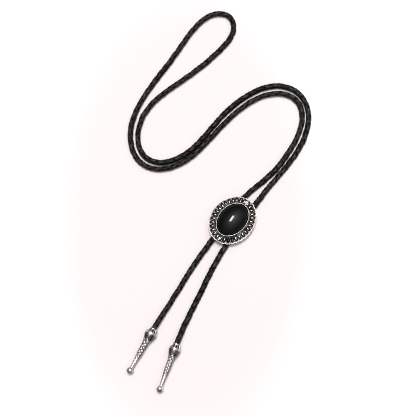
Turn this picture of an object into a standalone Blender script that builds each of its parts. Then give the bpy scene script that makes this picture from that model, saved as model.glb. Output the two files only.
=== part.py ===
"""Bolo tie: a braided leather cord through a silver slide with a black oval stone, with a cast tip on each end.

Sizes are in metres. The slide lies over the origin with its long way along +Y, the surface under the tie is at
Z = 0, and the cord lies on it: up to the neck loop, and down to the two tips.
"""

import math

import bmesh
import bpy
import numpy as np
from mathutils import Vector

MM = 0.001
GAP = 0.0003

# Braided cord
CORD_DIAMETER = 0.0040
CORD_POINTS = 79
BEND_WEIGHT = 0.020

# Clip behind the slide, which holds both runs of the cord
CLIP_LENGTH = 0.0220
CLIP_BASE = 0.0008
CLIP_WALL = 0.0010
CLIP_OFFSET = 0.0012
CLIP_SKEW = math.radians(7.5)
RUN_SPACING = 0.0101
CHANNEL_SIDES = 8
STRAIGHT_RUN = 0.0015

# Plate of the slide, with its border of arches
PLATE_LENGTH = 0.0368
PLATE_WIDTH = 0.0300
PLATE_THICKNESS = 0.0011
PLATE_EDGE = 0.0003
ARCHES = 32
ARCH_STEPS = 6
RELIEF_HEIGHT = 0.0008

# Bezel and stone
STONE_LENGTH = 0.0250
STONE_WIDTH = 0.0180
STONE_DOME = 0.0040
BEZEL_WALL = 0.0007
BEZEL_HEIGHT = 0.0022
SEAT_HEIGHT = 0.0004
STONE_SIDES = 48
DOME_RINGS = 6
DOME_END = 84.0

# Cast tips
TIP_LENGTH = 0.0321
BALL_RADIUS = 0.0023
BULB_RADIUS = 0.00415
MOUTH_RADIUS = 0.0028
STEM_RADIUS = 0.00115
NECK_RADIUS = 0.00205
SOCKET_DEPTH = 0.0075
CROWN_SLOTS = 12
SLOT_DEPTH = 0.00035
LEAVES = 6
LEAF_RELIEF = 0.00015
TIP_SIDES = 36
BALL_RINGS = 7
TIP_REACH = 0.030

# The tie was laid out seen from a side that is turned this much from the slide's own axes.
LAY_TURN = math.radians(43.0)

# Where each tip's ball lies, in millimetres right of and above the slide as the tie is laid, and its heading,
# in degrees clockwise from up.
TIPS = {
    "tip_left": {"ball": (-70.0, -103.1), "heading": 29.3},
    "tip_right": {"ball": (-49.7, -115.5), "heading": 20.6},
}

# The cord's route, chosen by hand, in millimetres right of and above the slide as the tie is laid. The cord
# rests on the surface there, and rises a little as it nears a tip.
LEFT_TAIL = [(-48.1, -65.1), (-36.1, -45.9), (-25.0, -28.2)]
NECK_LOOP = [
    (9.0, 17.8), (19.6, 26.9), (39.8, 49.2), (49.7, 69.3), (50.9, 78.9), (47.9, 88.3), (39.6, 94.0),
    (29.7, 94.6), (10.1, 85.9), (-19.1, 56.3), (-39.1, 40.5), (-58.6, 39.0), (-66.9, 44.5), (-73.1, 64.1),
    (-65.7, 88.8), (-45.4, 118.9), (-31.1, 140.3), (-17.1, 154.7), (-7.7, 157.2), (-0.8, 154.1),
    (1.5, 144.0), (-7.6, 129.3), (-23.3, 114.4), (-43.4, 99.4), (-63.3, 79.1), (-67.5, 59.0), (-63.9, 49.2),
    (-53.8, 43.3), (-34.9, 48.8), (-6.1, 78.7), (19.6, 97.5), (33.6, 100.5), (47.7, 95.6), (54.9, 83.8),
    (55.0, 71.1), (43.0, 45.3), (24.0, 22.2),
]
RIGHT_TAIL = [(-12.7, -31.1), (-22.3, -50.3), (-33.5, -73.3)]

# The border's relief over one arch, from the rim inward. "inset" is a share of the border's width; the heights
# are shares of RELIEF_HEIGHT at the rib between two arches, beside it, beside the bead and over the bead.
BORDER = [
    {"inset": 0.08, "rib": 0.45, "shoulder": 0.50, "flank": 0.50, "bead": 0.50},
    {"inset": 0.15, "rib": 0.35, "shoulder": 0.75, "flank": 1.00, "bead": 1.00},
    {"inset": 0.23, "rib": 0.75, "shoulder": 1.00, "flank": 0.45, "bead": 0.25},
    {"inset": 0.33, "rib": 1.00, "shoulder": 0.80, "flank": 0.30, "bead": 0.75},
    {"inset": 0.43, "rib": 1.00, "shoulder": 0.55, "flank": 0.55, "bead": 1.00},
    {"inset": 0.53, "rib": 1.00, "shoulder": 0.50, "flank": 0.30, "bead": 0.70},
    {"inset": 0.63, "rib": 1.00, "shoulder": 0.40, "flank": 0.00, "bead": 0.00},
    {"inset": 0.92, "rib": 0.70, "shoulder": 0.20, "flank": 0.00, "bead": 0.00},
]
BORDER_COLUMNS = ("rib", "shoulder", "flank", "bead", "flank", "shoulder")

# The tip's outline from ball to mouth. "along" is a share of TIP_LENGTH, and "radius" is a share of the radius
# that "of" names.
TIP_OUTLINE = [
    {"along": 0.157, "of": "stem", "radius": 1.09},
    {"along": 0.252, "of": "stem", "radius": 1.22},
    {"along": 0.314, "of": "neck", "radius": 0.78},
    {"along": 0.409, "of": "neck", "radius": 0.90},
    {"along": 0.566, "of": "neck", "radius": 0.98},
    {"along": 0.645, "of": "neck", "radius": 1.02},
    {"along": 0.692, "of": "neck", "radius": 1.17},
    {"along": 0.723, "of": "bulb", "radius": 0.66},
    {"along": 0.786, "of": "bulb", "radius": 0.82},
    {"along": 0.849, "of": "bulb", "radius": 0.96},
    {"along": 0.885, "of": "bulb", "radius": 1.00},
]

# The crown between the bulb's widest ring and the mouth. "share" is how much wider than the mouth it still is,
# and "slot" is how much of SLOT_DEPTH the slots are cut in there.
CROWN_RINGS = [
    {"along": 0.900, "share": 0.92, "slot": 0.0},
    {"along": 0.912, "share": 0.80, "slot": 1.0},
    {"along": 0.945, "share": 0.42, "slot": 1.0},
    {"along": 0.985, "share": 0.08, "slot": 1.0},
    {"along": 1.000, "share": 0.00, "slot": 0.0},
]
LEAVES_FROM = 0.66
LEAVES_TO = 0.87

# Heights that follow from the sizes above
CORD_RADIUS = CORD_DIAMETER / 2
CHANNEL_RADIUS = (CORD_RADIUS + GAP) / math.cos(math.pi / 2 / CHANNEL_SIDES)
CHANNEL_HEIGHT = CLIP_BASE + CHANNEL_RADIUS
CLIP_TOP = CHANNEL_HEIGHT + CORD_RADIUS
PLATE_BOTTOM = CLIP_TOP + GAP
FIELD_HEIGHT = PLATE_BOTTOM + PLATE_THICKNESS
SEAT_TOP = FIELD_HEIGHT + SEAT_HEIGHT
BEZEL_TOP = FIELD_HEIGHT + BEZEL_HEIGHT
STONE_BOTTOM = SEAT_TOP + GAP
GIRDLE_TOP = BEZEL_TOP - GAP


def clear_scene():
    for item in list(bpy.data.objects):
        bpy.data.objects.remove(item, do_unlink=True)


def material(name, colour, metallic, roughness):
    made = bpy.data.materials.new(name)
    made.use_nodes = True
    shader = made.node_tree.nodes["Principled BSDF"]
    shader.inputs["Base Color"].default_value = (*colour, 1.0)
    shader.inputs["Metallic"].default_value = metallic
    shader.inputs["Roughness"].default_value = roughness
    return made


def add_object(name, data, finish):
    item = bpy.data.objects.new(name, data)
    item.data.materials.append(finish)
    bpy.context.scene.collection.objects.link(item)
    return item


def loft(name, rings, finish, smooth_angle=35.0):
    """A closed solid through rings of equally many points. The first and last ring are closed by a flat face."""
    shape = bmesh.new()
    rows = [[shape.verts.new(point) for point in ring] for ring in rings]
    for low, high in zip(rows, rows[1:]):
        for i in range(len(low)):
            j = (i + 1) % len(low)
            shape.faces.new((low[i], low[j], high[j], high[i]))
    shape.faces.new(rows[0])
    shape.faces.new(rows[-1])
    bmesh.ops.recalc_face_normals(shape, faces=shape.faces)
    mesh = bpy.data.meshes.new(name)
    shape.to_mesh(mesh)
    shape.free()
    mesh.shade_smooth()
    mesh.set_sharp_from_angle(angle=math.radians(smooth_angle))
    return add_object(name, mesh, finish)


def ellipse_turns(half_length, half_width, count):
    """Turns that give points at equal distances round an ellipse, the first one on +X."""
    fine = np.linspace(0.0, 2.0 * math.pi, 2001)
    outline = np.stack([half_width * np.cos(fine), half_length * np.sin(fine)], axis=1)
    steps = np.linalg.norm(np.diff(outline, axis=0), axis=1)
    travelled = np.concatenate([[0.0], np.cumsum(steps)])
    wanted = np.arange(count) / count * travelled[-1]
    return np.interp(wanted, travelled, fine)


def ellipse_ring(half_length, half_width, turns, heights):
    """A ring of points over an ellipse. heights is one height, or one for each point."""
    heights = np.broadcast_to(heights, turns.shape)
    return [
        (half_width * math.cos(turn), half_length * math.sin(turn), height)
        for turn, height in zip(turns, heights)
    ]


def concho(finish):
    """The slide's plate, its border of arches with a bead in each, and the bezel, soldered into one solid."""
    bezel_length = STONE_LENGTH / 2 + GAP + BEZEL_WALL
    bezel_width = STONE_WIDTH / 2 + GAP + BEZEL_WALL
    outer_length = PLATE_LENGTH / 2
    outer_width = PLATE_WIDTH / 2
    turns = ellipse_turns(
        (outer_length + bezel_length) / 2, (outer_width + bezel_width) / 2, ARCHES * ARCH_STEPS
    )

    def ring(inset, heights):
        """A ring at a share of the way from the plate's edge to the bezel."""
        return ellipse_ring(
            outer_length + (bezel_length - outer_length) * inset,
            outer_width + (bezel_width - outer_width) * inset,
            turns,
            heights,
        )

    def inner_ring(inset, height):
        """A ring inside the bezel's outer wall by that distance."""
        return ellipse_ring(bezel_length - inset, bezel_width - inset, turns, height)

    edge_share = PLATE_EDGE / (outer_width - bezel_width)
    rings = [
        ring(edge_share, PLATE_BOTTOM),
        ring(0.0, PLATE_BOTTOM + PLATE_EDGE),
        ring(0.0, FIELD_HEIGHT + RELIEF_HEIGHT / 4),
    ]
    for row in BORDER:
        shares = np.tile([row[column] for column in BORDER_COLUMNS], ARCHES)
        rings.append(ring(row["inset"], FIELD_HEIGHT + RELIEF_HEIGHT * shares))
    rings += [
        inner_ring(0.0, FIELD_HEIGHT),
        inner_ring(0.0, BEZEL_TOP - BEZEL_WALL / 2),
        inner_ring(BEZEL_WALL / 2, BEZEL_TOP),
        inner_ring(BEZEL_WALL, BEZEL_TOP - BEZEL_WALL / 4),
        inner_ring(BEZEL_WALL, SEAT_TOP),
    ]
    return loft("concho", rings, finish)


def stone(finish):
    """The oval cabochon: an upright girdle inside the bezel and a dome above it."""
    turns = ellipse_turns(STONE_LENGTH / 2, STONE_WIDTH / 2, STONE_SIDES)
    rings = [
        ellipse_ring(STONE_LENGTH / 2, STONE_WIDTH / 2, turns, STONE_BOTTOM),
        ellipse_ring(STONE_LENGTH / 2, STONE_WIDTH / 2, turns, GIRDLE_TOP),
    ]
    for step in range(1, DOME_RINGS + 1):
        lift = math.radians(DOME_END) * step / DOME_RINGS
        share = math.cos(lift)
        rings.append(
            ellipse_ring(
                STONE_LENGTH / 2 * share,
                STONE_WIDTH / 2 * share,
                turns,
                GIRDLE_TOP + STONE_DOME * math.sin(lift),
            )
        )
    return loft("stone", rings, finish)


def channel_middle(side):
    """Where the middle of a cord run lies across the clip: side is -1 for the left run and 1 for the right."""
    return side * RUN_SPACING / 2


def channel_point(side, along):
    """A point of a cord run inside the clip, that far along it from the clip's middle."""
    across = channel_middle(side)
    return Vector(
        (
            CLIP_OFFSET + across * math.cos(CLIP_SKEW) - along * math.sin(CLIP_SKEW),
            across * math.sin(CLIP_SKEW) + along * math.cos(CLIP_SKEW),
            CHANNEL_HEIGHT,
        )
    )


def back_clip(finish):
    """The plain clip behind the plate: a flat base, two outer walls and a middle web, with a channel each side."""
    outer = RUN_SPACING / 2 + CHANNEL_RADIUS + CLIP_WALL
    profile = [(-outer, 0.0), (outer, 0.0), (outer, CLIP_TOP)]
    for side in (1, -1):
        middle = channel_middle(side)
        profile.append((middle + CHANNEL_RADIUS, CLIP_TOP))
        for step in range(CHANNEL_SIDES + 1):
            turn = -math.pi * step / CHANNEL_SIDES
            profile.append(
                (
                    middle + CHANNEL_RADIUS * math.cos(turn),
                    CHANNEL_HEIGHT + CHANNEL_RADIUS * math.sin(turn),
                )
            )
        profile.append((middle - CHANNEL_RADIUS, CLIP_TOP))
    profile.append((-outer, CLIP_TOP))
    rings = [
        [(across, along, height) for across, height in profile]
        for along in (-CLIP_LENGTH / 2, CLIP_LENGTH / 2)
    ]
    clip = loft("back_clip", rings, finish)
    clip.location = (CLIP_OFFSET, 0.0, 0.0)
    clip.rotation_euler = (0.0, 0.0, CLIP_SKEW)
    return clip


def laid(point, height):
    """A point of the layout, in millimetres right of and above the slide, as a place in the part."""
    right, up = point
    return Vector(
        (
            MM * (right * math.cos(LAY_TURN) - up * math.sin(LAY_TURN)),
            MM * (right * math.sin(LAY_TURN) + up * math.cos(LAY_TURN)),
            height,
        )
    )


def tip_axis(place):
    """Unit vector from a tip's ball to its mouth. A tip lies level, with its bulb on the surface."""
    heading = math.radians(place["heading"])
    return laid((math.sin(heading), math.cos(heading)), 0.0).normalized()


def tip_point(place, along):
    """A point on a tip's axis, that far from the middle of its ball."""
    return laid(place["ball"], BULB_RADIUS) + tip_axis(place) * along


def tip_rings():
    """Rings of a tip round its own axis, from the end of its ball to the bottom of its socket."""
    turns = [2.0 * math.pi * i / TIP_SIDES for i in range(TIP_SIDES)]
    slot_every = TIP_SIDES // CROWN_SLOTS
    radii = {"stem": STEM_RADIUS, "neck": NECK_RADIUS, "bulb": BULB_RADIUS}

    def ring(height, radii_round):
        return [
            (radius * math.cos(turn), radius * math.sin(turn), height)
            for turn, radius in zip(turns, radii_round)
        ]

    rings = []
    ball_end = math.pi - math.asin(STEM_RADIUS / BALL_RADIUS)
    for step in range(1, BALL_RINGS + 1):
        turn = ball_end * step / BALL_RINGS
        rings.append(ring(-BALL_RADIUS * math.cos(turn), [BALL_RADIUS * math.sin(turn)] * TIP_SIDES))
    for row in TIP_OUTLINE:
        radius = radii[row["of"]] * row["radius"]
        along = row["along"]
        reach = 0.0
        if LEAVES_FROM < along < LEAVES_TO:
            reach = math.sin(math.pi * (along - LEAVES_FROM) / (LEAVES_TO - LEAVES_FROM))
        leaf = [LEAF_RELIEF * reach * math.cos(LEAVES * turn) for turn in turns]
        rings.append(ring(along * TIP_LENGTH, [radius + lift for lift in leaf]))
    for row in CROWN_RINGS:
        radius = MOUTH_RADIUS + (BULB_RADIUS - MOUTH_RADIUS) * row["share"]
        cut = [SLOT_DEPTH * row["slot"] * (i % slot_every == 0) for i in range(TIP_SIDES)]
        rings.append(ring(row["along"] * TIP_LENGTH, [radius - depth for depth in cut]))
    bore = CORD_RADIUS + GAP
    rings.append(ring(TIP_LENGTH, [bore] * TIP_SIDES))
    rings.append(ring(TIP_LENGTH - SOCKET_DEPTH, [bore] * TIP_SIDES))
    return rings


def tip(name, place, finish):
    made = loft(name, tip_rings(), finish)
    made.location = laid(place["ball"], BULB_RADIUS)
    made.rotation_mode = "QUATERNION"
    made.rotation_quaternion = tip_axis(place).to_track_quat("Z", "Y")
    return made


def cord_sections():
    """The cord's route from the left tip to the right one, as straight and free sections that share their ends."""
    straight = CLIP_LENGTH / 2 + STRAIGHT_RUN
    ends = {}
    for name, place in TIPS.items():
        ends[name] = [
            tip_point(place, TIP_LENGTH - SOCKET_DEPTH + GAP),
            tip_point(place, TIP_LENGTH + STRAIGHT_RUN),
        ]
    left_run = [channel_point(-1, -straight), channel_point(-1, straight)]
    right_run = [channel_point(1, straight), channel_point(1, -straight)]

    def lying(points):
        placed = []
        for point in points:
            spot = laid(point, CORD_RADIUS)
            for _, mouth in ends.values():
                nearness = max(0.0, 1.0 - (spot - mouth).length / TIP_REACH)
                spot.z += (mouth.z - CORD_RADIUS) * nearness**2
            placed.append(spot)
        return placed

    return [
        ends["tip_left"],
        [ends["tip_left"][1], *lying(LEFT_TAIL), left_run[0]],
        left_run,
        [left_run[1], *lying(NECK_LOOP), right_run[0]],
        right_run,
        [right_run[1], *lying(RIGHT_TAIL), ends["tip_right"][1]],
        ends["tip_right"][::-1],
    ]


def smooth_curve(points):
    """Fine points on the natural cubic spline through the given ones, and the place of each given one in them."""
    known = np.array([tuple(point) for point in points])
    at = np.concatenate([[0.0], np.cumsum(np.linalg.norm(np.diff(known, axis=0), axis=1))])
    span = np.diff(at)
    count = len(known)
    system = np.eye(count)
    bend = np.zeros_like(known)
    for i in range(1, count - 1):
        system[i, i - 1 : i + 2] = (span[i - 1], 2.0 * (span[i - 1] + span[i]), span[i])
        bend[i] = 6.0 * ((known[i + 1] - known[i]) / span[i] - (known[i] - known[i - 1]) / span[i - 1])
    curve = np.linalg.solve(system, bend)
    fine = []
    knots = [0]
    for i in range(count - 1):
        steps = max(2, math.ceil(span[i] / (CORD_DIAMETER / 8)))
        for step in range(steps):
            rest = span[i] * (1.0 - step / steps)
            gone = span[i] * step / steps
            fine.append(
                (curve[i] * rest**3 + curve[i + 1] * gone**3) / (6.0 * span[i])
                + (known[i] / span[i] - curve[i] * span[i] / 6.0) * rest
                + (known[i + 1] / span[i] - curve[i + 1] * span[i] / 6.0) * gone
            )
        knots.append(len(fine))
    fine.append(known[-1])
    line = np.array(fine)
    line[:, 2] = np.maximum(line[:, 2], CORD_RADIUS)
    return line, knots


def tube_points():
    """The tube's points: closer together where the cord bends, with one at each end of every section."""
    sections = cord_sections()
    route = list(sections[0])
    section_ends = [0, 1]
    for section in sections[1:]:
        route += section[1:]
        section_ends.append(len(route) - 1)
    line, knots = smooth_curve(route)
    steps = np.linalg.norm(np.diff(line, axis=0), axis=1)
    headings = np.diff(line, axis=0) / steps[:, None]
    turning = np.concatenate([[0.0], np.linalg.norm(np.diff(headings, axis=0), axis=1)])
    cost = np.concatenate([[0.0], np.cumsum(steps + BEND_WEIGHT * turning)])
    chosen = [0]
    for first, last in zip(section_ends, section_ends[1:]):
        start, end = knots[first], knots[last]
        is_straight = last - first == 1
        share = (cost[end] - cost[start]) / cost[-1]
        pieces = 1 if is_straight else max(2, round(CORD_POINTS * share))
        wanted = np.linspace(cost[start], cost[end], pieces + 1)[1:]
        chosen += [int(np.searchsorted(cost, value)) for value in wanted[:-1]] + [end]
    return line[chosen]


def cord(finish):
    """The one braided cord, from inside the left tip, round the neck loop, to inside the right tip."""
    points = tube_points()
    curve = bpy.data.curves.new("cord", "CURVE")
    curve.dimensions = "3D"
    curve.bevel_depth = CORD_RADIUS
    curve.bevel_resolution = 2
    curve.use_fill_caps = True
    spline = curve.splines.new("POLY")
    spline.points.add(len(points) - 1)
    for made, point in zip(spline.points, points):
        made.co = (*point, 1.0)
    return add_object("cord", curve, finish)


def main():
    clear_scene()
    silver = material("antiqued_silver", (0.62, 0.60, 0.57), 1.0, 0.28)
    onyx = material("black_onyx", (0.012, 0.012, 0.013), 0.0, 0.08)
    nickel = material("plain_nickel", (0.55, 0.54, 0.52), 1.0, 0.35)
    leather = material("black_leather", (0.020, 0.017, 0.016), 0.0, 0.50)
    concho(silver)
    stone(onyx)
    back_clip(nickel)
    for name, place in TIPS.items():
        tip(name, place, silver)
    cord(leather)


main()
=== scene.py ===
"""Bolo tie, laid out on a white surface: how it looks.

A round braid of four leather laces replaces the cord's tube. The slide, the stone and the cast tips are
meshes from height functions, with the relief that the photo shows. The frame is the CAD's, in metres. The
relief is worked out in millimetres, and its tables and functions say so.
"""

import math

import bpy
import numpy as np
from mathutils import Matrix, Vector

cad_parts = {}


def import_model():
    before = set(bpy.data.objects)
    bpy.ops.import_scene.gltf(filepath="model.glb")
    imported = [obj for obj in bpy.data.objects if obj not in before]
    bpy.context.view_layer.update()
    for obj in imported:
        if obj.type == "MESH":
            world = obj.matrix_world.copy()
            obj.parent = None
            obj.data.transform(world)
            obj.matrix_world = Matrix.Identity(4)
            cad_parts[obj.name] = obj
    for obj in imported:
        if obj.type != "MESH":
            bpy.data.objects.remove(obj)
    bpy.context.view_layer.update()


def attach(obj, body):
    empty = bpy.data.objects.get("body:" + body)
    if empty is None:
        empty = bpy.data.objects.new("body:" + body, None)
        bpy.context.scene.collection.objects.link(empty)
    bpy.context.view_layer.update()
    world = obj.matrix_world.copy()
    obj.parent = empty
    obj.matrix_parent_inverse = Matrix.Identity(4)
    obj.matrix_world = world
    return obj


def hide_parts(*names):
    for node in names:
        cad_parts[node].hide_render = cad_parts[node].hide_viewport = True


MM = 0.001
TAU = 2.0 * math.pi
GAP = 0.0003

# Sizes that are the same as in the CAD
CORD_DIAMETER = 0.0040
CORD_RADIUS = CORD_DIAMETER / 2
CLIP_LENGTH = 0.0220
CLIP_OFFSET = 0.0012
CLIP_SKEW = math.radians(7.5)
CHANNEL_HEIGHT = 0.0031451
RUN_SPACING = 0.0101
STRAIGHT_RUN = 0.0015
LAY_TURN = math.radians(43.0)
TIP_LENGTH = 0.0321
BALL_RADIUS = 0.0023
BULB_RADIUS = 0.00415
SOCKET_DEPTH = 0.0075
TIP_REACH = 0.030
PLATE_LENGTH = 0.0368
PLATE_WIDTH = 0.0300
STONE_LENGTH = 0.0250
STONE_WIDTH = 0.0180
STONE_DOME = 0.0040
DOME_FULLNESS = 0.45
BEZEL_WALL = 0.0007
BEZEL_HEIGHT = 0.0022
SEAT_HEIGHT = 0.0004
PLATE_THICKNESS = 0.0011

# Where each tip's ball lies, in millimetres right of and above the slide as the tie is laid, and its
# heading, in degrees clockwise from up
TIPS = {
    "tip_left": {"ball": (-70.0, -103.1), "heading": 29.3},
    "tip_right": {"ball": (-49.7, -115.5), "heading": 20.6},
}

# The cord's route, in millimetres right of and above the slide as the tie is laid. It is the CAD's route,
# except that each run is up to 0.5 mm nearer to the other in the middle of the S, where the two touch
LEFT_TAIL = [(-48.1, -65.1), (-36.1, -45.9), (-25.0, -28.2)]
NECK_LOOP = [
    (9.0, 17.8), (19.6, 26.9), (33.6, 40.5), (39.8, 49.2), (49.7, 69.3), (50.9, 78.9), (47.9, 88.3),
    (39.6, 94.0), (29.7, 94.6), (10.1, 85.9), (-19.4, 56.7), (-39.3, 40.9), (-58.6, 39.0), (-66.9, 44.5),
    (-73.1, 64.1), (-65.7, 88.8), (-45.4, 118.9), (-31.1, 140.3), (-17.1, 154.7), (-7.7, 157.2),
    (-0.8, 154.1), (1.5, 144.0), (-7.6, 129.3), (-23.3, 114.4), (-43.4, 99.4), (-63.3, 79.1),
    (-67.5, 59.0), (-63.9, 49.2), (-53.8, 43.1), (-34.7, 48.4), (-6.0, 78.6), (7.1, 90.2), (19.6, 97.5),
    (33.6, 100.5), (47.7, 95.6), (54.9, 83.8), (55.0, 71.1), (43.0, 45.3), (24.0, 22.2),
]
RIGHT_TAIL = [(-12.7, -31.1), (-22.3, -50.3), (-33.5, -73.3)]

# The braid: four laces, two each way round. Each lace's middle is BRAID_MIDDLE from the cord's, give or
# take BRAID_WEAVE as it goes over and under the others
BRAID_PITCH = 0.0123
BRAID_STEP = 0.00041
BRAID_MIDDLE = 0.00125
BRAID_WEAVE = 0.00033
LACE_THICKNESS = 0.00116
LACE_HALF_TURN = math.radians(80.0)
LACE_SIDES = 10
CREST_LOW = 0.0014
CREST_RISE = 0.0007
LOWEST_LACE = 0.00002

# How the hand-made braid is uneven: the cord's sideways drift, each lace's slack, both drawn anew at that
# distance, and two slow waves of twist, in radians
BRAID_DRIFT = {"every": 0.0030, "size": 0.00008}
LACE_SLACK = {"every": 0.0072, "size": 0.00004}
BRAID_TWIST = [
    {"amount": 0.9, "length": 0.071, "start": 0.0},
    {"amount": 0.5, "length": 0.023, "start": 1.0},
]

# The camera: how the photo was taken. SLIDE_PIXEL is where the point SLIDE_HEIGHT above the origin is seen
IMAGE_PIXELS = 416
CAMERA_TILT = math.radians(12.0)
CAMERA_DISTANCE = 0.600
METRES_PER_PIXEL = 0.00070
SLIDE_PIXEL = (232.55, 220.18)
SLIDE_HEIGHT = 0.006
SENSOR = 36.0

# The surface. Its tint is in an ellipse round the tie, whose middle and half lengths are in millimetres
# along the photo's right and up
SURFACE_HALF = 9.0
TINTED_ELLIPSE = [
    {"way": (1.0, 0.0), "middle": -33.0, "half": 88.0},
    {"way": (0.0, 1.0), "middle": 12.0, "half": 165.0},
]

# The lamps: "right" and "up" are degrees from straight overhead as the photo sees them, "wide" and "long" are
# degrees too, and "turn" is how far the long way is turned from the slide's, to the left
LAMP_DISTANCE = 2.5
LAMP_COLOUR = (1.0, 0.98, 0.975)
LAMPS = {
    "key": {"right": -2.8, "up": 12.2, "wide": 9.0, "long": 18.0, "turn": 22.0, "radiance": 42.0},
    "key_edge": {"right": -2.8, "up": 12.2, "wide": 12.0, "long": 24.0, "turn": 22.0, "radiance": 8.0},
}

# The light of the room: an even part and three that fall off from nearly overhead, the higher the power the
# sooner. All of it is that much weaker at the slide's left and stronger at its right
ROOM_LIGHT = 0.21
ROOM_COLOUR = (1.0, 0.985, 0.98, 1.0)
BRIGHTEST = {"right": 2.0, "up": 13.0}
OVERHEAD_LIGHTS = [
    {"power": 2.0, "amount": 0.36},
    {"power": 8.0, "amount": 1.6},
    {"power": 60.0, "amount": 4.0},
]
LEFT_SHARE = 0.57
RIGHT_SHARE = 1.43


# Node materials


def new_material(name):
    """A new material, its node tree and its shader."""
    made = bpy.data.materials.new(name)
    made.use_nodes = True
    tree = made.node_tree
    return made, tree, tree.nodes["Principled BSDF"]


def node(tree, kind, **values):
    """A node of that kind. A value for an input is given by the input's name with _ for a space."""
    made = tree.nodes.new(kind)
    for key, value in values.items():
        socket = key.replace("_", " ")
        if socket in made.inputs:
            made.inputs[socket].default_value = value
        else:
            setattr(made, key, value)
    return made


def noise(tree, scale, detail=4.0, roughness=0.55, stretch=(1.0, 1.0, 1.0)):
    """Noise in object space, as a socket. scale is how many features there are in a metre."""
    coordinates = node(tree, "ShaderNodeTexCoord")
    spread = node(tree, "ShaderNodeMapping", Scale=stretch)
    made = node(tree, "ShaderNodeTexNoise", Scale=scale, Detail=detail, Roughness=roughness)
    tree.links.new(coordinates.outputs["Object"], spread.inputs["Vector"])
    tree.links.new(spread.outputs["Vector"], made.inputs["Vector"])
    return made.outputs["Fac"]


def attribute(tree, name):
    """A number that the mesh keeps for each point, as a socket."""
    return node(tree, "ShaderNodeAttribute", attribute_name=name).outputs["Fac"]


def maths(tree, operation, first, second):
    """One step of arithmetic on two sockets or numbers."""
    made = node(tree, "ShaderNodeMath", operation=operation)
    for socket, value in zip(made.inputs, (first, second)):
        if isinstance(value, (int, float)):
            socket.default_value = value
        else:
            tree.links.new(value, socket)
    return made.outputs["Value"]


def remap(tree, value, low, high, to_low=0.0, to_high=1.0):
    """A socket's value moved softly from one range to another, and held at its ends."""
    made = node(tree, "ShaderNodeMapRange", interpolation_type="SMOOTHSTEP")
    made.inputs["From Min"].default_value = low
    made.inputs["From Max"].default_value = high
    made.inputs["To Min"].default_value = to_low
    made.inputs["To Max"].default_value = to_high
    tree.links.new(value, made.inputs["Value"])
    return made.outputs["Result"]


def blend(tree, share, first, second):
    """A colour between two colours or sockets."""
    made = node(tree, "ShaderNodeMix", data_type="RGBA")
    tree.links.new(share, made.inputs["Factor"])
    # The node's sockets repeat their names for each kind of value: these numbers are those for colours
    for socket, value in ((made.inputs[6], first), (made.inputs[7], second)):
        if isinstance(value, tuple):
            socket.default_value = (*value, 1.0)
        else:
            tree.links.new(value, socket)
    return made.outputs[2]


def bump(tree, shader, height, distance, strength=1.0, under=None):
    """Fine relief on a shader, on top of the relief under it. distance is in metres."""
    made = node(tree, "ShaderNodeBump", Distance=distance, Strength=strength)
    tree.links.new(height, made.inputs["Height"])
    if under is not None:
        tree.links.new(under, made.inputs["Normal"])
    tree.links.new(made.outputs["Normal"], shader.inputs["Normal"])
    return made.outputs["Normal"]


def antiqued_silver(name, polished, worn, tarnish_and_shade_colour):
    """Cast silver: polished where it stands high, and dark where the mesh's attribute for tarnish and painted
    shade is high.
    """
    made, tree, shader = new_material(name)
    # The attribute holds tarnish and painted shade, and both get the dark colour
    tarnish_and_shade_amount = attribute(tree, "patina_and_shade")
    patches = noise(tree, 420.0, 5.0)
    fine = noise(tree, 2600.0, 3.0)
    uneven = maths(tree, "SUBTRACT", maths(tree, "MULTIPLY", patches, 0.5), 0.25)
    tarnish_and_shade = remap(tree, maths(tree, "ADD", tarnish_and_shade_amount, uneven), 0.25, 0.85)
    bright = blend(tree, remap(tree, patches, 0.35, 0.70), polished, worn)
    colour = blend(tree, tarnish_and_shade, bright, tarnish_and_shade_colour)
    tree.links.new(colour, shader.inputs["Base Color"])
    shader.inputs["Metallic"].default_value = 1.0
    dull = remap(tree, tarnish_and_shade, 0.0, 1.0, 0.20, 0.50)
    scratched = remap(tree, fine, 0.3, 0.7, 0.0, 0.12)
    tree.links.new(maths(tree, "ADD", dull, scratched), shader.inputs["Roughness"])
    coarse = bump(tree, shader, patches, 0.00006, 0.6)
    bump(tree, shader, fine, 0.00002, 0.5, coarse)
    return made


def black_onyx():
    """Polished onyx, nearly black and faintly clouded."""
    made, tree, shader = new_material("black_onyx")
    cloud = noise(tree, 260.0, 4.0)
    colour = blend(tree, remap(tree, cloud, 0.35, 0.75), (0.0012, 0.0012, 0.0013), (0.0030, 0.0028, 0.0029))
    tree.links.new(colour, shader.inputs["Base Color"])
    shader.inputs["IOR"].default_value = 1.50
    shader.inputs["Specular IOR Level"].default_value = 0.25
    polish = noise(tree, 900.0, 5.0)
    tree.links.new(remap(tree, polish, 0.3, 0.75, 0.03, 0.06), shader.inputs["Roughness"])
    bump(tree, shader, polish, 0.000003, 0.3)
    return made


def black_leather():
    """Oiled black leather lace: fine grain, shinier in patches, and lighter on the crests, partly worn and
    partly with a painted sheen.
    """
    made, tree, shader = new_material("black_leather")
    crest = attribute(tree, "crest")
    patches = noise(tree, 400.0, 3.0)
    grain = noise(tree, 3400.0, 4.0, 0.65)
    dark = blend(tree, remap(tree, patches, 0.3, 0.7), (0.0016, 0.0013, 0.0013), (0.0066, 0.0054, 0.0053))
    # The crests are lighter: partly wear, partly a painted sheen
    wear_and_sheen = maths(tree, "MULTIPLY", remap(tree, crest, 0.55, 1.0), remap(tree, grain, 0.35, 0.75))
    colour = blend(tree, wear_and_sheen, dark, (0.034, 0.028, 0.027))
    tree.links.new(colour, shader.inputs["Base Color"])
    tree.links.new(remap(tree, grain, 0.3, 0.7, 0.42, 0.62), shader.inputs["Roughness"])
    tree.links.new(remap(tree, patches, 0.34, 0.66, 0.06, 0.29), shader.inputs["Specular IOR Level"])
    coarse = bump(tree, shader, noise(tree, 900.0, 3.0), 0.00012, 0.5)
    bump(tree, shader, grain, 0.00005, 0.7, coarse)
    return made


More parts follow.
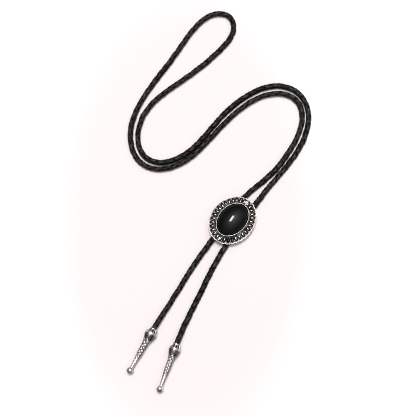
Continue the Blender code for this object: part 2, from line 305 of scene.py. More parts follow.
def plain_nickel():
    """Brushed nickel plate, for the clip."""
    made, tree, shader = new_material("plain_nickel")
    brushed = noise(tree, 900.0, 4.0, 0.6, (1.0, 14.0, 1.0))
    colour = blend(tree, remap(tree, brushed, 0.3, 0.7), (0.50, 0.49, 0.47), (0.62, 0.61, 0.59))
    tree.links.new(colour, shader.inputs["Base Color"])
    shader.inputs["Metallic"].default_value = 1.0
    tree.links.new(remap(tree, brushed, 0.3, 0.7, 0.26, 0.42), shader.inputs["Roughness"])
    bump(tree, shader, brushed, 0.00002, 0.4)
    return made


def white_paper():
    """The surface: white, with a faint warm tint in a soft ellipse round the tie."""
    made, tree, shader = new_material("white_paper")
    coordinates = node(tree, "ShaderNodeTexCoord")
    reach = 0.0
    for row in TINTED_ELLIPSE:
        along = node(tree, "ShaderNodeVectorMath", operation="DOT_PRODUCT")
        tree.links.new(coordinates.outputs["Object"], along.inputs[0])
        along.inputs[1].default_value = laid(row["way"], 0.0).normalized()
        from_middle = maths(tree, "SUBTRACT", along.outputs["Value"], row["middle"] * MM)
        share = maths(tree, "DIVIDE", from_middle, row["half"] * MM)
        reach = maths(tree, "ADD", maths(tree, "MULTIPLY", share, share), reach)
    colour = blend(tree, remap(tree, reach, 0.6, 1.5), (0.638, 0.592, 0.594), (0.69, 0.68, 0.68))
    tree.links.new(colour, shader.inputs["Base Color"])
    shader.inputs["Roughness"].default_value = 0.9
    shader.inputs["Specular IOR Level"].default_value = 0.1
    bump(tree, shader, noise(tree, 1500.0, 4.0), 0.00001, 0.2)
    return made


# Meshes from grids of points


def grid_mesh(name, grid, values=None, sharp=40.0):
    """A closed mesh through a grid of points, a row for each ring. values gives numbers for them, by name.

    Edges are sharp from that angle on, in degrees.
    """
    rows, columns, _ = grid.shape
    index = np.arange(rows * columns).reshape(rows, columns)
    after = np.roll(index, -1, axis=1)
    faces = np.stack([index[:-1], after[:-1], after[1:], index[1:]], axis=-1).reshape(-1, 4).tolist()
    faces.append(index[0][::-1].tolist())
    faces.append(index[-1].tolist())
    mesh = bpy.data.meshes.new(name)
    mesh.from_pydata(grid.reshape(-1, 3).tolist(), [], faces)
    for key, numbers in (values or {}).items():
        layer = mesh.attributes.new(key, "FLOAT", "POINT")
        layer.data.foreach_set("value", np.asarray(numbers, dtype=np.float32).ravel())
    mesh.shade_smooth()
    if sharp:
        mesh.set_sharp_from_angle(angle=math.radians(sharp))
    return mesh


def add_piece(name, mesh, finish, slot, *nodes):
    """A piece of the tie, which stands for those nodes of the CAD."""
    piece = bpy.data.objects.new(name, mesh)
    mesh.materials.append(finish)
    bpy.context.scene.collection.objects.link(piece)
    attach(piece, "root")
    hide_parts(*nodes)
    return piece


def dome_bump(distance, radius):
    """A round ridge or bead: 1 in its middle, 0 from that radius on."""
    return np.sqrt(np.clip(1.0 - (distance / radius) ** 2, 0.0, 1.0))


def step_up(value, low, high):
    """0 below low, 1 above high and a soft slope between."""
    share = np.clip((value - low) / (high - low), 0.0, 1.0)
    return share * share * (3.0 - 2.0 * share)


# The cord's route


def laid(point, height):
    """A point of the layout, in millimetres right of and above the slide, as a place in metres."""
    right, up = point
    return Vector(
        (
            MM * (right * math.cos(LAY_TURN) - up * math.sin(LAY_TURN)),
            MM * (right * math.sin(LAY_TURN) + up * math.cos(LAY_TURN)),
            height,
        )
    )


def tip_axis(place):
    """The way along a tip, from its ball to its mouth."""
    heading = math.radians(place["heading"])
    return laid((math.sin(heading), math.cos(heading)), 0.0).normalized()


def tip_point(place, along):
    """A point on a tip's axis, that far from the ball's middle."""
    return laid(place["ball"], BULB_RADIUS) + tip_axis(place) * along


def channel_point(side, along):
    """A point on the axis of a channel of the clip. side is -1 for the left one and 1 for the right one."""
    across = side * RUN_SPACING / 2
    return Vector(
        (
            CLIP_OFFSET + across * math.cos(CLIP_SKEW) - along * math.sin(CLIP_SKEW),
            across * math.sin(CLIP_SKEW) + along * math.cos(CLIP_SKEW),
            CHANNEL_HEIGHT,
        )
    )


def cord_route():
    """The points that the cord passes, from inside the left tip to inside the right one."""
    straight = CLIP_LENGTH / 2 + STRAIGHT_RUN
    ends = {}
    for name, place in TIPS.items():
        ends[name] = [
            tip_point(place, TIP_LENGTH - SOCKET_DEPTH + GAP),
            tip_point(place, TIP_LENGTH + STRAIGHT_RUN),
        ]

    def lying(points):
        """Points on the surface, which rise near the mouths of the tips."""
        placed = []
        for point in points:
            spot = laid(point, CORD_RADIUS)
            for _, mouth in ends.values():
                nearness = max(0.0, 1.0 - (spot - mouth).length / TIP_REACH)
                spot.z += (mouth.z - CORD_RADIUS) * nearness**2
            placed.append(spot)
        return placed

    return [
        *ends["tip_left"],
        *lying(LEFT_TAIL),
        channel_point(-1, -straight),
        channel_point(-1, straight),
        *lying(NECK_LOOP),
        channel_point(1, straight),
        channel_point(1, -straight),
        *lying(RIGHT_TAIL),
        *ends["tip_right"][::-1],
    ]


def smooth_curve(points, step):
    """Evenly spaced points on the natural cubic spline through the given ones."""
    known = np.array([tuple(point) for point in points])
    at = np.concatenate([[0.0], np.cumsum(np.linalg.norm(np.diff(known, axis=0), axis=1))])
    span = np.diff(at)
    count = len(known)
    system = np.eye(count)
    bend = np.zeros_like(known)
    for i in range(1, count - 1):
        system[i, i - 1 : i + 2] = (span[i - 1], 2.0 * (span[i - 1] + span[i]), span[i])
        bend[i] = 6.0 * ((known[i + 1] - known[i]) / span[i] - (known[i] - known[i - 1]) / span[i - 1])
    curve = np.linalg.solve(system, bend)
    where = np.linspace(0.0, at[-1], int(at[-1] / (step / 4)))
    cell = np.clip(np.searchsorted(at, where, side="right") - 1, 0, count - 2)
    gone = (where - at[cell])[:, None]
    width = span[cell][:, None]
    rest = width - gone
    line = (
        (curve[cell] * rest**3 + curve[cell + 1] * gone**3) / (6.0 * width)
        + (known[cell] / width - curve[cell] * width / 6.0) * rest
        + (known[cell + 1] / width - curve[cell + 1] * width / 6.0) * gone
    )
    line[:, 2] = np.maximum(line[:, 2], CORD_RADIUS)
    travelled = np.concatenate([[0.0], np.cumsum(np.linalg.norm(np.diff(line, axis=0), axis=1))])
    wanted = np.linspace(0.0, travelled[-1], int(round(travelled[-1] / step)) + 1)
    even = np.stack([np.interp(wanted, travelled, line[:, i]) for i in range(3)], axis=1)
    return even, wanted


def frames_along(line):
    """Unit vectors at each point of a line: along it, to its side, and up from it."""
    along = np.gradient(line, axis=0)
    along /= np.linalg.norm(along, axis=1)[:, None]
    side = np.cross(along, (0.0, 0.0, 1.0))
    side /= np.linalg.norm(side, axis=1)[:, None]
    return along, side, np.cross(side, along)


def wandering(loose, travelled, every, size):
    """A smooth random value along the line, drawn anew at every such distance."""
    drawn = loose.normal(0.0, size, int(travelled[-1] / every) + 2)
    cell = (travelled / every).astype(int)
    share = step_up(travelled / every - cell, 0.0, 1.0)
    return drawn[cell] * (1.0 - share) + drawn[cell + 1] * share


def braided_cord(finish):
    """Four laces woven round the route: two turn each way, each over the others on its own two sides."""
    line, travelled = smooth_curve(cord_route(), BRAID_STEP)
    _, side, up = frames_along(line)
    turns = TAU * travelled / BRAID_PITCH
    twist = sum(row["amount"] * np.sin(travelled / row["length"] + row["start"]) for row in BRAID_TWIST)
    # A lace's section is an ellipse with a fuller edge and flatter faces
    section = TAU * np.arange(LACE_SIDES) / LACE_SIDES
    across = np.sign(np.cos(section)) * np.abs(np.cos(section)) ** 0.85
    lift = np.sign(np.sin(section)) * np.abs(np.sin(section)) ** 0.75
    loose = np.random.default_rng(5)
    middle_line = line + wandering(loose, travelled, **BRAID_DRIFT)[:, None] * side
    vertices = []
    faces = []
    crest = []
    for way in (1, -1):
        for start in (0.0, math.pi):
            slack = wandering(loose, travelled, **LACE_SLACK)
            turn = (way * turns + start)[:, None] + LACE_HALF_TURN * across[None, :]
            radius = (
                BRAID_MIDDLE
                + way * BRAID_WEAVE * np.cos(2.0 * turn)
                + slack[:, None]
                + lift[None, :] * LACE_THICKNESS / 2
            )
            shown = turn + twist[:, None]
            rings = (
                middle_line[:, None, :]
                + (radius * np.cos(shown))[..., None] * side[:, None, :]
                + (radius * np.sin(shown))[..., None] * up[:, None, :]
            )
            rings[..., 2] = np.maximum(rings[..., 2], LOWEST_LACE)
            base = sum(len(block) for block in vertices)
            rows, columns = radius.shape
            index = base + np.arange(rows * columns).reshape(rows, columns)
            after = np.roll(index, -1, axis=1)
            quads = np.stack([index[:-1], after[:-1], after[1:], index[1:]], axis=-1).reshape(-1, 4)
            if way < 0:
                quads = quads[:, ::-1]
            faces += quads.tolist()
            faces.append(index[0].tolist())
            faces.append(index[-1][::-1].tolist())
            vertices.append(rings.reshape(-1, 3))
            crest.append(np.clip((radius - CREST_LOW) / CREST_RISE, 0.0, 1.0).ravel())
    mesh = bpy.data.meshes.new("braided_cord")
    mesh.from_pydata(np.concatenate(vertices).tolist(), [], faces)
    layer = mesh.attributes.new("crest", "FLOAT", "POINT")
    layer.data.foreach_set("value", np.concatenate(crest).astype(np.float32))
    mesh.shade_smooth()
    piece = add_piece("braided_cord", mesh, finish, "leather", "cord")
    return piece, line, float(travelled[-1])


# The cast tips, in millimetres. Places along a tip are counted from the middle of its ball

TIP_OUTLINE = [
    {"at": 2.3, "radius": 1.15}, {"at": 5.0, "radius": 1.25}, {"at": 8.1, "radius": 1.40},
    {"at": 10.1, "radius": 1.60}, {"at": 13.1, "radius": 1.85}, {"at": 15.2, "radius": 1.90},
    {"at": 18.2, "radius": 2.00}, {"at": 20.7, "radius": 2.10}, {"at": 22.2, "radius": 2.40},
    {"at": 23.2, "radius": 2.75}, {"at": 24.2, "radius": 3.10}, {"at": 25.2, "radius": 3.40},
    {"at": 26.2, "radius": 3.72}, {"at": 27.2, "radius": 3.93}, {"at": 28.4, "radius": 4.00},
    {"at": 29.3, "radius": 3.92}, {"at": 30.3, "radius": 3.42}, {"at": 31.3, "radius": 2.98},
    {"at": 32.1, "radius": 2.80},
]
TIP_ROUND = 96
BALL_ROWS = 20
STEM_FROM = 2.05
STEM_STEP = 0.15
MOUTH_RADIUS = 2.74
BORE_ROOM = 0.32
BORE_END = 24.7
RELIEF_FROM = 2.6

# The relief of a tip, from its mouth to its ball
LIP_AT = 31.8
CROWN_TOP = 31.5
CROWN_FOOT = 29.1
CROWN_SLOTS = 11
RIDGE_AT = 28.5
BULB_TOP = 28.3
LEAF_TIPS_AT = 22.6
LEAF_TIPS_RISE = 0.9
LEAF_TIPS = 3.0
STEM_LEAVES = 6
LEAF_PITCH = 2.3
BALL_TO = 2.4


def tip_relief(at, turn):
    """The cast relief of a tip: its height, in millimetres, and its tarnish with painted shade, from 0 to 1.

    turn is 0 on the tip's left, a quarter on its top and a half on its right, with the ball at the bottom.
    """
    # The crown's slots, the ridge under them and the lip of the mouth
    slot_turn = (turn * CROWN_SLOTS / TAU + 0.5) % 1.0 - 0.5
    in_crown = np.clip((at - CROWN_FOOT) / 0.25, 0.0, 1.0) * np.clip((CROWN_TOP - at) / 0.2, 0.0, 1.0)
    slot = np.clip((0.29 - np.abs(slot_turn)) / 0.08, 0.0, 1.0) * in_crown
    ridge = dome_bump(np.abs(at - RIDGE_AT), 0.50)
    lip = dome_bump(np.abs(at - LIP_AT), 0.30)
    # The leaves on the stem, which fade towards the ball and end in points under the bulb
    leaf_tip = LEAF_TIPS_AT + LEAF_TIPS_RISE * np.abs(np.sin(LEAF_TIPS * turn))
    below_tip = leaf_tip - at
    leaf_edge = dome_bump(np.abs(below_tip), 0.30)
    fade = (0.25 + 0.75 * step_up(at, 6.0, 14.0)) * step_up(at, 3.2, 6.0)
    on_stem = step_up(below_tip, 0.0, 0.5) * fade
    strip = np.floor(turn * STEM_LEAVES / TAU + 0.5) % 2.0
    leaf_turn = (turn * STEM_LEAVES / TAU + 0.5) % 1.0 - 0.5
    along = (at / LEAF_PITCH + 0.5 * strip) % 1.0 - 0.5
    leaf = dome_bump(np.hypot(leaf_turn / 0.52, along / 0.50), 1.0)
    leaf -= 0.5 * dome_bump(np.hypot(leaf_turn / 0.14, along / 0.16), 1.0)
    height = 0.14 * ridge - 0.42 * slot + 0.06 * lip + 0.12 * leaf_edge + 0.38 * on_stem * (leaf - 0.60)
    # Tarnish in the slots, between the leaves, on the smooth bulb and over the ball, and painted shade on
    # both flanks and on the ball's lower end
    tarnish_and_shade = np.clip(1.2 * slot + on_stem * np.clip(1.1 - 1.5 * leaf, 0.0, 1.0), 0.0, 1.0)
    on_bulb = step_up(-below_tip, 0.1, 0.6) * step_up(BULB_TOP - at, 0.0, 0.8)
    tarnish_and_shade = np.maximum(tarnish_and_shade, (0.66 + 0.10 * np.abs(np.cos(LEAF_TIPS * turn))) * on_bulb)
    right_flank_shade = 0.45 * step_up(-np.cos(turn), 0.30, 0.80) * step_up(below_tip, -2.0, 0.5)
    left_flank_shade = 0.50 * step_up(np.cos(turn), 0.55, 0.90) * step_up(below_tip, 0.0, 0.5)
    # The ball is tarnished all over, with painted shade added on its lower end
    ball = (0.34 + 0.34 * step_up(-at, -0.4, 1.6)) * step_up(BALL_TO - at, 0.0, 0.4)
    tarnish_and_shade += (right_flank_shade + left_flank_shade) * step_up(at, 1.5, 3.0) + ball - 0.15 * ridge
    return height, np.clip(tarnish_and_shade, 0.0, 1.0)


def smooth_profile(outline, wanted):
    """A smooth line through the outline's rows: its radius at the wanted places."""
    at = np.array([row["at"] for row in outline])
    radius = np.array([row["radius"] for row in outline])
    slope = np.gradient(radius, at)
    cell = np.clip(np.searchsorted(at, wanted, side="right") - 1, 0, len(at) - 2)
    width = at[cell + 1] - at[cell]
    share = np.clip((wanted - at[cell]) / width, 0.0, 1.0)
    return (
        (2 * share**3 - 3 * share**2 + 1) * radius[cell]
        + (share**3 - 2 * share**2 + share) * width * slope[cell]
        + (3 * share**2 - 2 * share**3) * radius[cell + 1]
        + (share**3 - share**2) * width * slope[cell + 1]
    )


def cast_tip(name, place, finish):
    """A tip, turned in rings from its ball to its mouth and down into its socket."""
    turn = TAU * np.arange(TIP_ROUND) / TIP_ROUND
    ball = BALL_RADIUS / MM
    ball_end = math.pi - math.asin(TIP_OUTLINE[0]["radius"] / ball)
    ball_turn = np.linspace(0.0, ball_end, BALL_ROWS + 2)[1:-1]
    mouth = TIP_LENGTH / MM
    stem_at = np.arange(STEM_FROM, mouth, STEM_STEP)
    bore = CORD_RADIUS / MM + BORE_ROOM
    socket_at = [mouth, mouth, BORE_END]
    at = np.concatenate([-ball * np.cos(ball_turn), stem_at, socket_at])
    radius = np.concatenate(
        [ball * np.sin(ball_turn), smooth_profile(TIP_OUTLINE, stem_at), [MOUTH_RADIUS, bore, bore]]
    )
    height, tarnish_and_shade = tip_relief(at[:, None], turn[None, :])
    with_relief = (at > RELIEF_FROM) & (np.arange(len(at)) < len(at) - len(socket_at))
    full = radius[:, None] + height * with_relief[:, None]
    row_at = np.broadcast_to(at[:, None], full.shape)
    grid = np.stack([full * np.cos(turn), full * np.sin(turn), row_at], axis=-1)
    turned = np.array(tip_axis(place).to_track_quat("Z", "Y").to_matrix())
    grid = MM * grid @ turned.T + np.array(tip_point(place, 0.0))
    # The socket's two rings are dark
    tarnish_and_shade[-2:] = 1.0
    mesh = grid_mesh(name + "_cast", grid[::-1], values={"patina_and_shade": tarnish_and_shade[::-1]})
    return add_piece(name + "_cast", mesh, finish, "silver", name)


# The slide

ARCHES = 32
ARCH_STEPS = 28
BORDER_ROWS = 52
SCALLOP = 0.10
RIM_DROP = 0.0006
CLIP_TOP = CHANNEL_HEIGHT + CORD_RADIUS
PLATE_BOTTOM = CLIP_TOP + GAP
FIELD_HEIGHT = PLATE_BOTTOM + PLATE_THICKNESS
SEAT_TOP = FIELD_HEIGHT + SEAT_HEIGHT
BEZEL_TOP = FIELD_HEIGHT + BEZEL_HEIGHT
STONE_BOTTOM = SEAT_TOP + GAP
GIRDLE_TOP = BEZEL_TOP - GAP

# The border's relief, in millimetres. An arch and what is between it and the next get narrower inwards
BORDER_WIDTH = 4.95
HALF_PITCH_AT_RIM = 1.644
HALF_PITCH_FALL = 0.098
ARCH_PITCH = 2.9
ARCH_HEAD = 2.0
ARCH_HEIGHT = 0.66
ARCH_HALF_WALL = 0.24
TONGUE_LENGTH = 1.45
TONGUE_HEIGHT = 0.70
FLANK_HEIGHT = 0.42
LIP_HEIGHT = 0.12
EDGE_FALL = 0.90

# Painted shade, added as tarnish on what faces left, at the rim and on the relief, and a painted highlight,
# where tarnish is taken off what faces right
RIM_SHADE = 0.42
LEFT_SHADE = 0.70
RIGHT_GLEAM = 0.20

# Arches that the photo shows brighter or darker than the rest. "turn" is in degrees round the slide from
# its +X, and "inset" and "reach" are in millimetres
ODD_PLACES = [
    {"turn": 95.0, "inset": 2.6, "reach": 1.5, "tarnish_and_shade": -1.1},
    {"turn": 112.0, "inset": 2.8, "reach": 1.1, "tarnish_and_shade": 0.8},
    {"turn": 70.0, "inset": 2.8, "reach": 1.3, "tarnish_and_shade": 0.8},
    {"turn": 279.0, "inset": 2.2, "reach": 1.1, "tarnish_and_shade": -1.0},
    {"turn": 267.0, "inset": 2.8, "reach": 1.1, "tarnish_and_shade": 0.7},
    {"turn": 305.0, "inset": 2.8, "reach": 1.6, "tarnish_and_shade": 0.6},
    {"turn": 317.0, "inset": 2.8, "reach": 1.3, "tarnish_and_shade": 0.5},
]

# The bezel's wall above the border, from its foot over its rounded crest to the seat: how far each ring is
# inside the outer wall, its height over the field or under the bezel's top, and whether it waves with the
# crest, which is burnished by hand
BEZEL_FOOT = [
    {"inward": 0.0, "over_field": 0.0005, "tarnish_and_shade": 0.9},
    {"inward": 0.0, "over_field": 0.0012, "tarnish_and_shade": 0.5},
]
BEZEL_CREST = [
    {"inward": 0.0, "under_top": 0.0004, "wave": 0.0, "tarnish_and_shade": 0.2},
    {"inward": 0.00005, "under_top": 0.00028, "wave": 1.0, "tarnish_and_shade": 0.4},
    {"inward": 0.00013, "under_top": 0.00013, "wave": 1.0, "tarnish_and_shade": 0.5},
    {"inward": 0.00023, "under_top": 0.00004, "wave": 1.0, "tarnish_and_shade": 0.5},
    {"inward": 0.00034, "under_top": 0.0, "wave": 1.0, "tarnish_and_shade": 0.5},
    {"inward": 0.00045, "under_top": 0.00006, "wave": 1.0, "tarnish_and_shade": 0.5},
    {"inward": 0.00055, "under_top": 0.00018, "wave": 1.0, "tarnish_and_shade": 0.8},
    {"inward": 0.00063, "under_top": 0.00036, "wave": 1.0, "tarnish_and_shade": 1.0},
    {"inward": 0.00086, "under_top": 0.0006, "wave": 0.0, "tarnish_and_shade": 1.0},
    {"inward": BEZEL_WALL, "under_top": 0.0009, "wave": 0.0, "tarnish_and_shade": 1.0},
]
CREST_WAVES = [
    {"size": 0.00003, "count": 23.0, "start": 0.0},
    {"size": 0.00002, "count": 41.0, "start": 1.0},
]


def ellipse_turns(half_length, half_width, count):
    """Turns that give points at equal distances round an ellipse, the first one on +X."""
    fine = np.linspace(0.0, TAU, 4001)
    outline = np.stack([half_width * np.cos(fine), half_length * np.sin(fine)], axis=1)
    travelled = np.concatenate([[0.0], np.cumsum(np.linalg.norm(np.diff(outline, axis=0), axis=1))])
    return np.interp(np.arange(count) / count * travelled[-1], travelled, fine)


def border_relief(inset, arch, share):
    """Height of the border, in millimetres, and its tarnish, from 0 to 1.

    inset is in millimetres from the rim, arch is the arch's number and share goes from -0.5 to 0.5 over it.
    """
    uneven = np.random.default_rng(11)
    shift = uneven.normal(0.0, 0.07, ARCHES)[arch]
    size = 1.0 + uneven.normal(0.0, 0.06, ARCHES)[arch]
    tall = 1.0 + uneven.normal(0.0, 0.12, ARCHES)[arch]
    worn = uneven.uniform(0.0, 0.45, ARCHES)[arch]
    half_pitch = HALF_PITCH_AT_RIM - HALF_PITCH_FALL * inset
    across = share * 2.0 * half_pitch + shift * (1.0 - 4.0 * share**2)
    # The tongue that stands in each arch
    along = np.clip(inset - ARCH_HEAD, 0.0, TONGUE_LENGTH)
    tongue_half = (0.55 + 0.05 * along) * size
    tongue = TONGUE_HEIGHT * tall * dome_bump(np.hypot(across, inset - ARCH_HEAD - along) / tongue_half, 1.0)
    tongue *= 1.0 - 0.40 * np.abs(inset - 2.6) / 1.3
    # The arch round it: a half circle at its head, and straight sides from there to the bezel
    from_middle = np.where(inset < ARCH_HEAD, np.hypot(across, inset - ARCH_HEAD), np.abs(across))
    from_arch = from_middle - (half_pitch - 0.26 + 0.05 * along)
    crest = ARCH_HEIGHT * dome_bump(from_arch - ARCH_HALF_WALL, ARCH_HALF_WALL)
    crest *= 1.0 - 0.70 * step_up(inset, 3.4, 4.6)
    # The metal between the arches at the rim, and a low lip round the bezel
    flank = FLANK_HEIGHT * step_up(from_arch, 0.20, 0.40) * (1.0 - step_up(inset, 1.0, 1.8))
    lip = LIP_HEIGHT * step_up(inset, 4.60, 4.85)
    raised = np.maximum.reduce([crest, tongue, lip, flank])
    tarnish_and_shade = 1.0 - step_up(raised, 0.36, 0.56) - 0.22 * step_up(inset, 3.2, 3.8)
    tarnish_and_shade = np.maximum(tarnish_and_shade, worn * step_up(raised, 0.1, 0.4))
    tarnish_and_shade = np.where(inset < 0.6, np.minimum(tarnish_and_shade, 0.15), tarnish_and_shade)
    return raised - EDGE_FALL * (1.0 - step_up(inset, -0.4, 0.75)), tarnish_and_shade


def soften(values):
    """Each value moves towards those round it."""
    beside = (np.roll(values, 1, axis=1) + np.roll(values, -1, axis=1)) / 2
    padded = np.pad(values, ((1, 1), (0, 0)), mode="edge")
    above = (padded[:-2] + padded[2:]) / 2
    return values * 0.5 + beside * 0.25 + above * 0.25


def slide(finish):
    """The slide, in rings from the plate's back over its rim, border and bezel to the stone's seat."""
    outer = np.array([PLATE_WIDTH / 2, PLATE_LENGTH / 2])
    bezel = np.array([STONE_WIDTH / 2, STONE_LENGTH / 2]) + GAP + BEZEL_WALL
    middle = (outer + bezel) / 2
    count = ARCHES * ARCH_STEPS
    turns = ellipse_turns(middle[1], middle[0], count)
    unit = np.stack([np.cos(turns), np.sin(turns)], axis=1)
    share_of_arch = (np.arange(count) % ARCH_STEPS) / ARCH_STEPS
    arch = (np.round(np.arange(count) / ARCH_STEPS).astype(int)) % ARCHES
    share = (share_of_arch + 0.5) % 1.0 - 0.5
    inset = np.linspace(0.0, BORDER_WIDTH, BORDER_ROWS)[:, None] * np.ones((1, count))
    height, tarnish_and_shade = border_relief(inset, arch[None, :], share[None, :])
    height = soften(height)
    tarnish_and_shade = soften(tarnish_and_shade)

    # The light comes from the right: shade is painted on what faces left and a highlight on what faces right
    outward = unit / outer
    outward /= np.linalg.norm(outward, axis=1)[:, None]
    rises_inward = np.gradient(height, BORDER_WIDTH / (BORDER_ROWS - 1), axis=0)
    two_steps = 2.0 * ARCH_PITCH / ARCH_STEPS
    rises_onward = (np.roll(height, -1, axis=1) - np.roll(height, 1, axis=1)) / two_steps
    facing_right = rises_inward * outward[:, 0] + rises_onward * outward[:, 1]
    facing_right *= step_up(inset, 1.0, 1.5)
    # Painted shade on the rim where it faces left
    tarnish_and_shade += RIM_SHADE * np.clip(-outward[:, 0], 0.0, 1.0) * (1.0 - step_up(inset, 0.5, 1.0))
    for odd in ODD_PLACES:
        round_it = np.abs(turns - math.radians(odd["turn"])) * middle[1] / MM
        near = dome_bump(np.hypot(round_it[None, :], inset - odd["inset"]), odd["reach"])
        tarnish_and_shade += odd["tarnish_and_shade"] * near
    # Painted shade on the relief that faces left, and a painted highlight on what faces right
    tarnish_and_shade += LEFT_SHADE * np.clip(-facing_right, 0.0, 1.0) - RIGHT_GLEAM * np.clip(facing_right, 0.0, 1.0)
    tarnish_and_shade = np.clip(tarnish_and_shade, 0.0, 1.0)
    scallop = SCALLOP * MM * np.cos(TAU * share)

    def ring(inset_share, z, flare=0.0):
        """A ring at a share of the way from the plate's edge to the bezel, at those heights in metres."""
        half = outer + (bezel - outer) * inset_share
        edge = (half[None, :] + (flare + scallop * max(0.0, 1.0 - 4.0 * inset_share))[:, None]) * unit
        return np.concatenate([edge, np.broadcast_to(z, (count,))[:, None]], axis=1)

    def wall(inward, z):
        """A ring that far inside the bezel's outer wall."""
        edge = (bezel - inward)[None, :] * unit
        return np.concatenate([edge, np.broadcast_to(z, (count,))[:, None]], axis=1)

    # The plate's back with its small chamfer, and its edge
    rings = [
        (ring(0.05, PLATE_BOTTOM), 0.5),
        (ring(0.0, PLATE_BOTTOM + 0.0002, flare=-0.00005), 0.3),
        (ring(0.0, FIELD_HEIGHT - RIM_DROP - 0.0001), 0.1),
    ]
    for row in range(BORDER_ROWS):
        inset_share = inset[row, 0] / BORDER_WIDTH
        z = FIELD_HEIGHT + height[row] * MM - RIM_DROP * (1.0 - inset_share) ** 1.5
        rings.append((ring(inset_share, z), tarnish_and_shade[row]))
    wave = sum(row["size"] * np.sin(turns * row["count"] + row["start"]) for row in CREST_WAVES)
    for row in BEZEL_FOOT:
        rings.append((wall(row["inward"], FIELD_HEIGHT + row["over_field"]), row["tarnish_and_shade"]))
    for row in BEZEL_CREST:
        z = BEZEL_TOP - row["under_top"] + row["wave"] * wave
        rings.append((wall(row["inward"], z), row["tarnish_and_shade"]))
    rings.append((wall(BEZEL_WALL, SEAT_TOP), 1.0))
    grid = np.stack([points for points, _ in rings])
    patina_and_shade = np.stack([np.broadcast_to(value, (count,)) for _, value in rings])
    mesh = grid_mesh("cast_slide", grid, values={"patina_and_shade": patina_and_shade}, sharp=55.0)
    return add_piece("cast_slide", mesh, finish, "silver", "concho")


# The stone. Its dome's first ring is a share of the girdle, and its last one is that many degrees up
STONE_ROUND = 144
STONE_ROWS = 48
DOME_FOOT = 0.985
LAST_LIFT = 89.6


def cabochon(finish):
    """The domed stone. Its section is between an ellipse and an arc, and meets the bezel at a slope."""
    turns = TAU * np.arange(STONE_ROUND) / STONE_ROUND
    unit = np.stack([np.cos(turns) * STONE_WIDTH / 2, np.sin(turns) * STONE_LENGTH / 2], axis=1)
    lifts = np.radians(np.linspace(0.0, LAST_LIFT, STONE_ROWS))
    dome_shares = DOME_FOOT * np.cos(lifts)
    arc = ((STONE_WIDTH / 2) ** 2 + STONE_DOME**2) / (2.0 * STONE_DOME)
    across = np.cos(lifts) * STONE_WIDTH / 2
    arc_heights = np.sqrt(arc**2 - across**2) - (arc - STONE_DOME)
    dome_heights = DOME_FULLNESS * STONE_DOME * np.sin(lifts) + (1.0 - DOME_FULLNESS) * arc_heights
    # Under the dome: the flat back with its small chamfer, and the girdle
    shares = np.concatenate([[0.97, 1.0, 1.0, 0.996], dome_shares])
    below = [STONE_BOTTOM, STONE_BOTTOM + 0.0003, GIRDLE_TOP - 0.0004, GIRDLE_TOP - 0.0001]
    heights = np.concatenate([below, GIRDLE_TOP + dome_heights])
    rings = [
        np.concatenate([share * unit, np.full((len(turns), 1), height)], axis=1)
        for share, height in zip(shares, heights)
    ]
    mesh = grid_mesh("onyx_cabochon", np.stack(rings), sharp=None)
    return add_piece("onyx_cabochon", mesh, finish, "onyx", "stone")


# The surface, the light and the camera


def surface(finish):
    """What the tie lies on."""
    mesh = bpy.data.meshes.new("surface")
    corners = [(SURFACE_HALF * x, SURFACE_HALF * y, 0.0) for x, y in ((-1, -1), (1, -1), (1, 1), (-1, 1))]
    mesh.from_pydata(corners, [], [(0, 1, 2, 3)])
    mesh.materials.append(finish)
    made = bpy.data.objects.new("surface", mesh)
    bpy.context.scene.collection.objects.link(made)


def screen_axes():
    """Unit vectors of the photo: to its right, up along the surface, out to the eye, and up in the photo."""
    right = Vector((math.cos(LAY_TURN), math.sin(LAY_TURN), 0.0))
    level_up = Vector((-math.sin(LAY_TURN), math.cos(LAY_TURN), 0.0))
    out = -math.sin(CAMERA_TILT) * level_up + math.cos(CAMERA_TILT) * Vector((0.0, 0.0, 1.0))
    up = math.cos(CAMERA_TILT) * level_up + math.sin(CAMERA_TILT) * Vector((0.0, 0.0, 1.0))
    return right, level_up, out, up


def towards(right, up):
    """The direction that lies those degrees from straight overhead, as the photo sees them."""
    screen_right, level_up, _, _ = screen_axes()
    way = Vector((0.0, 0.0, 1.0))
    way += math.tan(math.radians(right)) * screen_right + math.tan(math.radians(up)) * level_up
    return way.normalized()


def camera():
    """The photo's camera. It looks along its own axis, and the slide is off its middle by SLIDE_PIXEL."""
    right, _, out, up = screen_axes()
    focal = CAMERA_DISTANCE / METRES_PER_PIXEL
    off_right = (SLIDE_PIXEL[0] - IMAGE_PIXELS / 2) / focal
    off_down = (SLIDE_PIXEL[1] - IMAGE_PIXELS / 2) / focal
    eye = Vector((0.0, 0.0, SLIDE_HEIGHT))
    eye += CAMERA_DISTANCE * (out - off_right * right + off_down * up)
    lens = bpy.data.cameras.new("camera")
    lens.sensor_width = SENSOR
    lens.lens = SENSOR * focal / IMAGE_PIXELS
    lens.clip_start = 0.01
    lens.clip_end = 20.0
    made = bpy.data.objects.new("camera", lens)
    turned = Matrix((right, up, out)).transposed()
    made.matrix_world = Matrix.Translation(eye) @ turned.to_4x4()
    bpy.context.scene.collection.objects.link(made)
    bpy.context.scene.camera = made


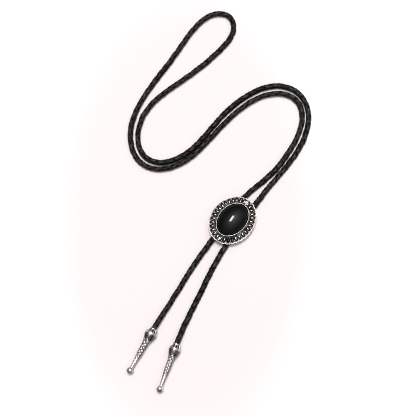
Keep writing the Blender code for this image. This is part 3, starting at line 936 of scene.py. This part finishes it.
def softbox(name, right, up, wide, long, turn, radiance):
    """A lit panel above the tie, which faces it."""
    outward = towards(right, up)
    heading = math.radians(turn)
    length_way = Vector((-math.sin(heading), math.cos(heading), 0.0))
    length_way = (length_way - length_way.dot(outward) * outward).normalized()
    width_way = length_way.cross(outward)
    panel = bpy.data.lights.new(name, "AREA")
    panel.shape = "RECTANGLE"
    panel.size = 2.0 * LAMP_DISTANCE * math.tan(math.radians(wide / 2))
    panel.size_y = 2.0 * LAMP_DISTANCE * math.tan(math.radians(long / 2))
    panel.energy = radiance * math.pi * panel.size * panel.size_y
    panel.color = LAMP_COLOUR
    made = bpy.data.objects.new(name, panel)
    facing = Matrix((width_way, length_way, outward)).transposed()
    made.matrix_world = Matrix.Translation(outward * LAMP_DISTANCE) @ facing.to_4x4()
    bpy.context.scene.collection.objects.link(made)


def plain_tones():
    """The photo's white stays white: tones are shown as they are, without a film curve."""
    view = bpy.context.scene.view_settings
    view.view_transform = "Standard"
    view.look = "None"
    bpy.context.scene.cycles.filter_width = 1.0


def surroundings():
    """A studio lit from overhead: the light falls off to every side, and is stronger at the slide's right."""
    world = bpy.data.worlds.new("room")
    world.use_nodes = True
    tree = world.node_tree
    sky = tree.nodes["Background"]
    coordinates = node(tree, "ShaderNodeTexCoord")

    def nearness(way):
        """How near a direction of the room is to that way: 1 along it, 0 square to it."""
        made = node(tree, "ShaderNodeVectorMath", operation="DOT_PRODUCT")
        tree.links.new(coordinates.outputs["Generated"], made.inputs[0])
        made.inputs[1].default_value = way
        return made.outputs["Value"]

    overhead = maths(tree, "MAXIMUM", nearness(towards(**BRIGHTEST)), 0.0)
    light = ROOM_LIGHT
    for row in OVERHEAD_LIGHTS:
        falling = maths(tree, "POWER", overhead, row["power"])
        light = maths(tree, "ADD", maths(tree, "MULTIPLY", falling, row["amount"]), light)
    side = remap(tree, nearness((1.0, 0.0, 0.0)), -0.75, 0.75, LEFT_SHARE, RIGHT_SHARE)
    sky.inputs["Color"].default_value = ROOM_COLOUR
    tree.links.new(maths(tree, "MULTIPLY", light, side), sky.inputs["Strength"])
    bpy.context.scene.world = world


def main():
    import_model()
    camera()
    # Each silver's darkest colour is for its tarnish and also for painted shade
    slide_silver = antiqued_silver(
        "slide_silver", polished=(0.80, 0.78, 0.75), worn=(0.58, 0.56, 0.53), tarnish_and_shade_colour=(0.010, 0.009, 0.009)
    )
    tip_silver = antiqued_silver(
        "tip_silver", polished=(0.76, 0.74, 0.71), worn=(0.52, 0.50, 0.47), tarnish_and_shade_colour=(0.050, 0.046, 0.038)
    )
    braid, line, length = braided_cord(black_leather())
    tips = [cast_tip(name, place, tip_silver) for name, place in TIPS.items()]
    slide(slide_silver)
    cabochon(black_onyx())
    bpy.data.objects["back_clip"].material_slots[0].material = plain_nickel()
    surface(white_paper())
    for name, lamp in LAMPS.items():
        softbox(name, **lamp)
    surroundings()
    plain_tones()


main()
